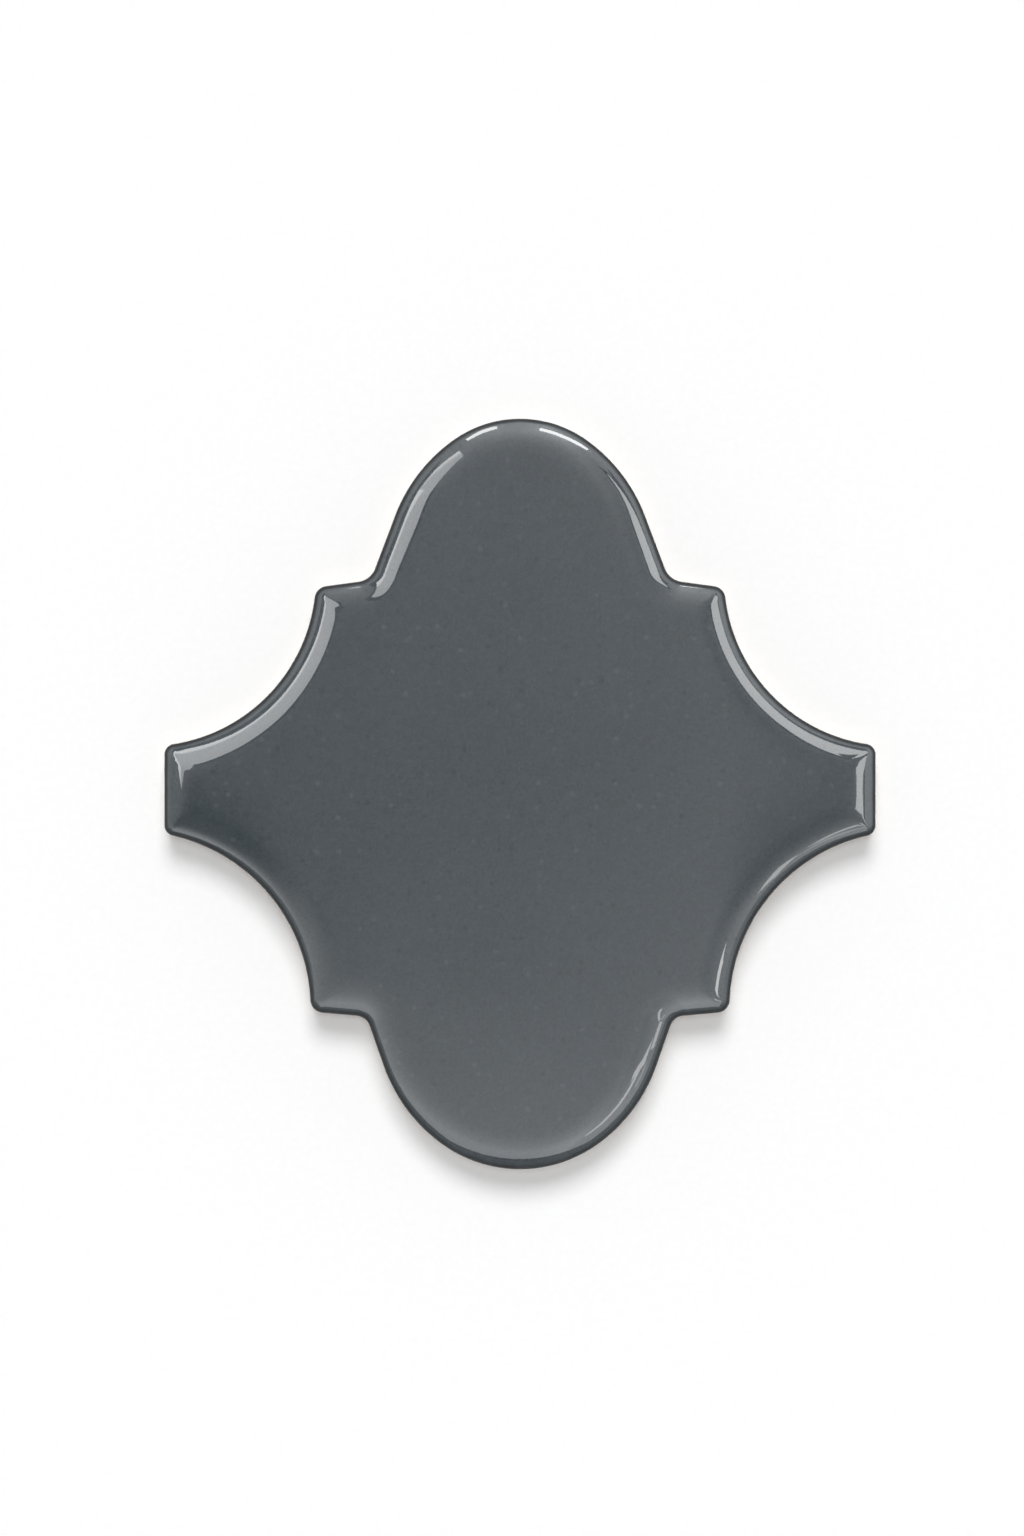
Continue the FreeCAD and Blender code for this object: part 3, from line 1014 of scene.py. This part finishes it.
def glaze_finish(clay):
    """Dark grey gloss glaze: clouded, drier where it thins at the rim edge and darkened there by painted
    shade, bare clay below.
    """
    material, tree, shader, vector = new_finish("dark_grey_glaze")
    rim = put(tree, "ShaderNodeAttribute", attribute_name="rim_inset").outputs["Fac"]
    height = parted(tree, vector)["Z"]

    def wandering(place, noise, reach):
        """A place that wanders to and fro with a noise."""
        return calc(tree, "ADD", place, calc(tree, "MULTIPLY", calc(tree, "SUBTRACT", noise, 0.5), reach))

    # the glaze thins at the rim edge, and painted shade darkens it there to a near-black line
    curdle = mottle(tree, vector, CURD_SCALE, 4.0, 0.6)
    rim_line = wandering(rim, curdle, THIN_EDGE_SHADE_WANDER)
    thin_and_shaded = spread(tree, rim_line, THIN_EDGE_SHADE_START, THIN_EDGE_SHADE_END, 0.0, 1.0)

    # it stops in a wavering line above the back, and the clay shows below it
    bare = place_group(tree, clay, {"Vector": vector, "Sand Scale": SAND_SCALE})
    glaze_line = wandering(height, mottle(tree, vector, GLAZE_LINE_SCALE, 3.0), GLAZE_LINE_WANDER)
    covered = spread(tree, glaze_line, GLAZE_LINE_START, GLAZE_LINE_END, 0.0, 1.0)

    # rough and dull at the thin edge, with a faint orange peel on the rest
    edge_roughness = 0.55
    edge_gloss = 0.12
    peel_depth = 0.008
    smooth = spread(tree, curdle, 0.3, 0.7, 0.24, 0.32)
    glaze_rough = blend_value(tree, thin_and_shaded, edge_roughness, smooth)
    gloss = blend_value(tree, thin_and_shaded, edge_gloss, 1.0)
    peel = calc(tree, "MULTIPLY", mottle(tree, vector, PEEL_SCALE, 1.0), peel_depth)
    relief = blend_value(tree, covered, bare["Height"], peel)
    colour = glaze_colour(tree, vector, curdle, thin_and_shaded)
    values = {
        "Base Color": blend_colour(tree, covered, bare["Color"], colour),
        "Roughness": blend_value(tree, covered, bare["Roughness"], glaze_rough),
        "Specular IOR Level": 0.25,
        "Coat Weight": calc(tree, "MULTIPLY", gloss, covered),
        "Coat Roughness": 0.015,
        "Coat IOR": 1.65,
        "Normal": relief_normal(tree, relief, 0.4, 0.1 * MM),
    }
    feed_by_name(tree, shader, values)
    return material


def table_finish():
    """Plain white table."""
    material, tree, shader, vector = new_finish("white_table")
    colour = two_tones(tree, mottle(tree, vector, PAPER_SCALE, 2.0), 0.3, 0.7, TABLE_WHITE)
    feed_by_name(tree, shader, {"Base Color": colour, "Roughness": 0.9, "Specular IOR Level": 0.0})
    return material


# Stage, light and camera; places and distances on the cards are in millimetres


def flat_sheet(name, corners, level, material):
    """A level face; its corners are in metres."""
    mesh = bpy.data.meshes.new(name)
    mesh.from_pydata([(x, y, level) for x, y in corners], [], [list(range(len(corners)))])
    mesh.materials.append(material)
    return add_object(name, mesh)


def square_corners(middle, half):
    """Corners of a square round a place."""
    x, y = middle
    return [(x - half, y - half), (x + half, y - half), (x + half, y + half), (x - half, y + half)]


def make_table():
    """The table under the tile."""
    table = flat_sheet("table_top", square_corners((0, 0), TABLE_REACH), TABLE_LEVEL, table_finish())


def soft_lamp(name, direction, spread_angle, level):
    """A broad, even lamp that gives a level of light to the table; its mirror image is left to the cards."""
    towards = Vector(direction).normalized()
    lamp = bpy.data.lights.new(name, "SUN")
    lamp.angle = spread_angle
    lamp.energy = level * math.pi / towards.z
    holder = add_object(name, lamp)
    holder.rotation_euler = towards.to_track_quat("Z", "Y").to_euler()
    holder.visible_glossy = False


def glowing(name):
    """A material that only gives light; returns the material, its tree and its strength socket."""
    material, tree, surface = empty_material(name)
    emission = put(tree, "ShaderNodeEmission")
    feed(tree, surface, emission.outputs[0])
    return material, tree, emission.inputs["Strength"]


def hang_card(name, corners, height, material):
    """A level card over the tile, seen only in the glaze."""
    card = flat_sheet(name, [(x * MM, y * MM) for x, y in corners], 0, material)
    card.location = (0, 0, height)
    card.visible_camera = False
    card.visible_diffuse = False
    card.visible_transmission = False
    card.visible_shadow = False


def far_from(tree, vector, middle, squash=1.0):
    """Distance from a place, with X stretched by a factor."""
    offset = vector_calc(tree, "SUBTRACT", vector, (middle[0] * MM, middle[1] * MM, 0))
    stretched = vector_calc(tree, "MULTIPLY", offset, (squash, 1, 0))
    return calc(tree, "DIVIDE", vector_length(tree, stretched), MM)


def reflector(name, height, corners, brightness):
    """An evenly bright card."""
    material, _, strength = glowing(name)
    strength.default_value = brightness
    hang_card(name, corners, height, material)


def graded_reflector(name, height, corners, near, far):
    """A card that brightens outwards; near and far are (distance from the tile's middle, brightness)."""
    material, tree, strength = glowing(name)
    distance = far_from(tree, object_place(tree), (0, 0))
    feed(tree, strength, spread(tree, distance, near[0], far[0], near[1], far[1]))
    hang_card(name, corners, height, material)


def widened(corners, border):
    """Corners of a card moved outwards by a border, square to the edges that meet there."""
    points = [Vector(corner) for corner in corners]
    following = points[1:] + points[:1]
    area = sum(point.cross(after) for point, after in zip(points, following))
    side = math.copysign(1.0, area)
    outwards = []
    for point, after in zip(points, following):
        along = (after - point).normalized()
        outwards.append(Vector((along.y, -along.x)) * side)
    least_mitre = 0.5
    moved = []
    for index, point in enumerate(points):
        before, after = outwards[index - 1], outwards[index]
        mitre = max(1.0 + before.dot(after), least_mitre)
        moved.append(point + (before + after) * (border / mitre))
    return moved


def black_frame(name, height, corners):
    """The dark frame of a card, hung just above it."""
    reflector(name, height + FRAME_GAP, widened(corners, FRAME_BORDER), brightness=0.0)


def gauze(name, middle, solid, clear, cover):
    """A grey gauze low over the tile that dims its mirror image; it thins out between two radii."""
    material, tree, surface = empty_material(name)
    distance = far_from(tree, object_place(tree), middle)
    black = put(tree, "ShaderNodeEmission")
    black.inputs["Strength"].default_value = 0.0
    mix = put(tree, "ShaderNodeMixShader")
    see_through = put(tree, "ShaderNodeBsdfTransparent").outputs[0]
    factor = spread(tree, distance, solid, clear, cover, 0.0)
    feed(tree, surface, feed_in_order(tree, mix, (factor, see_through, black.outputs[0])))
    hang_card(name, square_corners(middle, clear), GAUZE_HEIGHT, material)


def overhead_panel():
    """The pale ceiling in the face: brighter away from the middle, and on the right more than on the left."""
    material, tree, strength = glowing("overhead_panel")
    vector = object_place(tree)
    x, y, _ = parted(tree, vector)
    middle = (0, 12)
    squash = 0.5
    reach = 130
    dimmest = 0.46
    brightest = 1.85
    gain = 1.5
    steepness = 2.4
    outwards = calc(tree, "DIVIDE", far_from(tree, vector, middle, squash), reach)
    climb = calc(tree, "MULTIPLY", calc(tree, "POWER", outwards, steepness), gain)
    level = calc(tree, "MINIMUM", calc(tree, "ADD", dimmest, climb), brightest)
    full_width = 200 * MM
    across = calc(tree, "ADD", 0.5, calc(tree, "DIVIDE", x, full_width))
    shares = [(0.2, 0.6), (0.4, 1.0), (0.5, 1.05), (0.69, 1.4), (0.8, 0.8)]
    sides = ramp(tree, across, [(position, (share,) * 3) for position, share in shares])
    lower_share = spread(tree, y, -45 * MM, -5 * MM, 1.15, 0.3)
    feed(tree, strength, calc(tree, "MULTIPLY", level, calc(tree, "MAXIMUM", sides, lower_share)))
    lower_edge = [(-110, -120), (-70, -152), (70, -152), (100, -125)]
    right_edge = [(140, -60), (139, 10), (92, 40), (74, 52), (78, 95), (90, 130), (90, 220)]
    left_edge = [(-90, 220), (-80, 130), (-70, 90), (-66, 40), (-85, 14)]
    left_end = [(-190, 5), (-190, -40), (-150, -60)]
    hang_card("overhead_panel", lower_edge + right_edge + left_edge + left_end, PANEL_HEIGHT, material)


def surround():
    """The pale room beyond the cards, which the steep outside of the rim mirrors; dimmer below the tile."""
    material, tree, strength = glowing("surround")
    vector = object_place(tree)
    x, y, _ = parted(tree, vector)
    ring_start = 167
    ring_end = 178
    squash = 1.13
    half_width = 520
    ring = spread(tree, far_from(tree, vector, (0, 0), squash), ring_start, ring_end, 0.0, 1.0)
    upwards = spread(tree, y, -160 * MM, 40 * MM, 0.25, 1.1)
    rightwards = spread(tree, x, 0.0, 100 * MM, 1.0, 1.45)
    feed(tree, strength, calc(tree, "MULTIPLY", ring, calc(tree, "MULTIPLY", upwards, rightwards)))
    hang_card("surround", square_corners((0, 0), half_width), SURROUND_HEIGHT, material)


def left_cards():
    """The scooped corner with a flag at the end, and a low card for the side of the upper lobe."""
    end_flag = [(-136, 8), (-119, 3), (-109, 0.2), (-101, 2.5), (-80, 12)]
    inside = [(-67, 27), (-60, 31), (-58.5, 39), (-53, 50), (-43, 58), (-43, 62), (-44, 75)]
    outside = [(-86, 101), (-91, 90), (-94, 80.4), (-97.5, 73), (-107.5, 62.2), (-110, 49)]
    corners = end_flag + inside + outside
    graded_reflector("left_card", CARD_HEIGHT, corners, near=(108, 3.7), far=(117, 7.0))
    black_frame("left_frame", CARD_HEIGHT, inside + outside)
    inside = [(-33, 61.2), (-20.9, 54.2), (-18.3, 58.3), (-15, 63.6)]
    outside = [(-19.7, 70.2), (-27.8, 66.4)]
    graded_reflector("lobe_card", GAUZE_HEIGHT, inside + outside, near=(67, 3.7), far=(72, 7.0))


def right_cards():
    """One card for the scooped corner, and a narrow one for the end."""
    inside = [(105, 42), (86, 43), (82, 48), (78, 52), (72, 50.5), (75, 58), (78, 80), (77, 93), (70, 106)]
    outside = [(75, 107), (87, 100), (98, 92), (113, 82), (121, 69), (128, 54), (126, 46)]
    reflector("right_card", CARD_HEIGHT, inside + outside, brightness=5.0)
    black_frame("right_frame", CARD_HEIGHT, inside + outside)
    inside = [(124, -5), (92, -4.4), (98, -3), (101, -1), (101, 2.5), (97, 4.8), (93, 9), (95, 24)]
    outside = [(112, 28), (150, 14), (147, 5.5), (131, 3), (128, 0), (131, -2.5), (151, -28), (141, -31)]
    reflector("right_end_card", CARD_HEIGHT, inside + outside, brightness=4.9)


def upper_windows():
    """Two windows over the upper lobe."""
    below = [(-13, 106), (-16, 104.4), (-21.3, 102.8), (-25.5, 99), (-29, 96.8)]
    above = [(-34, 103.5), (-30.6, 110), (-26.2, 116), (-19.8, 118), (-15, 115.5)]
    reflector("upper_left_window", WINDOW_HEIGHT, below + above, brightness=11.0)
    below = [(10, 98), (14, 97), (23, 93.7), (28, 92.6), (33.5, 92), (37.5, 93)]
    above = [(42, 98), (40, 100), (34, 101.5), (27.5, 102.5), (17, 106), (12, 107)]
    reflector("upper_right_window", WINDOW_HEIGHT, below + above, brightness=12.5)


def lower_slits():
    """Slits on the right of the lower lobe and of the scooped corner above it."""
    window = [(90, -40), (104, -42), (105, -49), (92, -48)]
    reflector("lower_window", CARD_HEIGHT, window, brightness=7.0)
    inside = [(23.1, -44.4), (21.6, -47.1), (20, -50.2), (18.2, -52.9), (15.6, -55.9), (12.6, -58.4)]
    outside = [(12.8, -58.8), (16.1, -56.5), (18.9, -53.5), (20.8, -50.8), (22.4, -47.5), (23.9, -44.8)]
    reflector("lower_slit", SLIT_HEIGHT, inside + outside, brightness=5.2)
    neck_slit = [(91, -69), (66, -67.5), (60, -70), (63, -77.5), (67, -75), (90, -75)]
    reflector("neck_slit", CARD_HEIGHT, neck_slit, brightness=5.2)
    outer_slit = [(92, -77), (101, -78), (93, -95), (84, -92)]
    reflector("outer_slit", CARD_HEIGHT, outer_slit, brightness=3.2)
    side_slit = [(91, -61), (106, -66), (111, -79), (96, -74)]
    reflector("side_slit", CARD_HEIGHT, side_slit, brightness=5.0)


def make_lights():
    """A key from beyond the upper lobe, a fill from overhead, and the cards that the glaze mirrors."""
    soft_lamp("key", direction=(0.0, 0.57, 0.82), spread_angle=math.radians(28.0), level=KEY_LEVEL)
    soft_lamp("overhead_fill", direction=(0.0, 0.04, 1.0), spread_angle=math.radians(22.0), level=FILL_LEVEL)
    overhead_panel()
    surround()
    gauze("left_gauze", middle=(-57, -12), solid=8, clear=21, cover=0.85)
    gauze("right_gauze", middle=(47, -13), solid=4, clear=18, cover=0.5)
    left_cards()
    right_cards()
    upper_windows()
    lower_slits()


def make_world():
    """A dim studio above, pale towards the horizon."""
    world = bpy.data.worlds.new("studio_room")
    world.use_nodes = True
    tree = world.node_tree
    tree.nodes.clear()
    rise = parted(tree, put(tree, "ShaderNodeTexCoord").outputs["Generated"])["Z"]
    horizon_end = 0.1
    overhead_start = 0.45
    background = put(tree, "ShaderNodeBackground")
    strength = spread(tree, rise, horizon_end, overhead_start, ROOM_HORIZON, ROOM_OVERHEAD)
    feed(tree, background.inputs["Strength"], strength)
    output = put(tree, "ShaderNodeOutputWorld")
    feed(tree, output.inputs["Surface"], background.outputs[0])
    bpy.context.scene.world = world


def make_camera():
    """Straight down on the tile, framed as in the photograph."""
    data = bpy.data.cameras.new("overhead_camera")
    data.lens = CAMERA_LENS
    data.sensor_width = CAMERA_SENSOR
    data.clip_start = 0.01
    data.clip_end = 20.0
    camera = add_object("overhead_camera", data)
    camera.location = CAMERA_PLACE
    bpy.context.scene.camera = camera


clay = fired_clay()
tile = make_tile(glaze_finish(clay), bare_clay_finish(clay))
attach(tile, "root")
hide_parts("arabesque_tile")
make_table()
make_lights()
make_world()
make_camera()
bpy.context.scene.view_settings.view_transform = "Standard"
